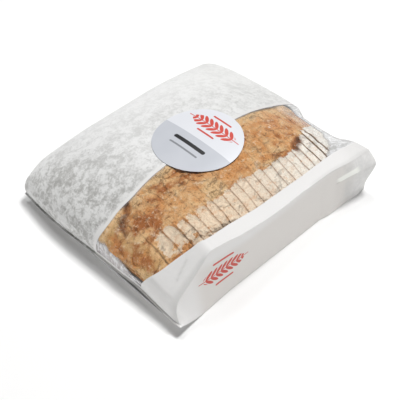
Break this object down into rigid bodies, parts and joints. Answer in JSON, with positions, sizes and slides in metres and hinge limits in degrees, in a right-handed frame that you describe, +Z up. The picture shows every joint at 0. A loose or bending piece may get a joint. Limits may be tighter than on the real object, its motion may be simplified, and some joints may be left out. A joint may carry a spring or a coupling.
{
  "type": "loaf in bread bag",
  "caption": "Sliced crusty loaf lying in a white paper bread bag, with a clear film window along its top, a folded end, a creased side face and a round label.",
  "frame": {"origin": "middle of the bag's footprint, on the surface that it lies on", "axes": "+X along the loaf from the folded near end to the far end, +Y across the bag away from the creased side face, +Z up"},
  "size_m": [0.2844, 0.253, 0.0911],
  "materials": {
    "bag_paper": "matte white kraft paper with a faint grey mottle on the wide panel",
    "window_film": "thin clear glossy film",
    "label_paper": "smooth coated paper, white and pale blue-grey halves",
    "bread": "golden-brown crust with flour on one shoulder, open pale crumb on the cut faces"
  },
  "bodies": {
    "root": {"bag": "bag_paper", "window_film": "window_film", "label": "label_paper", "slice_01": "bread", "slice_02": "bread", "slice_03": "bread", "slice_04": "bread", "slice_05": "bread", "slice_06": "bread", "slice_07": "bread", "slice_08": "bread", "slice_09": "bread", "slice_10": "bread", "slice_11": "bread", "slice_12": "bread", "slice_13": "bread", "slice_14": "bread", "slice_15": "bread", "slice_16": "bread", "slice_17": "bread", "slice_18": "bread", "slice_19": "bread", "slice_20": "bread", "slice_21": "bread", "slice_22": "bread"}
  },
  "joints": []
}
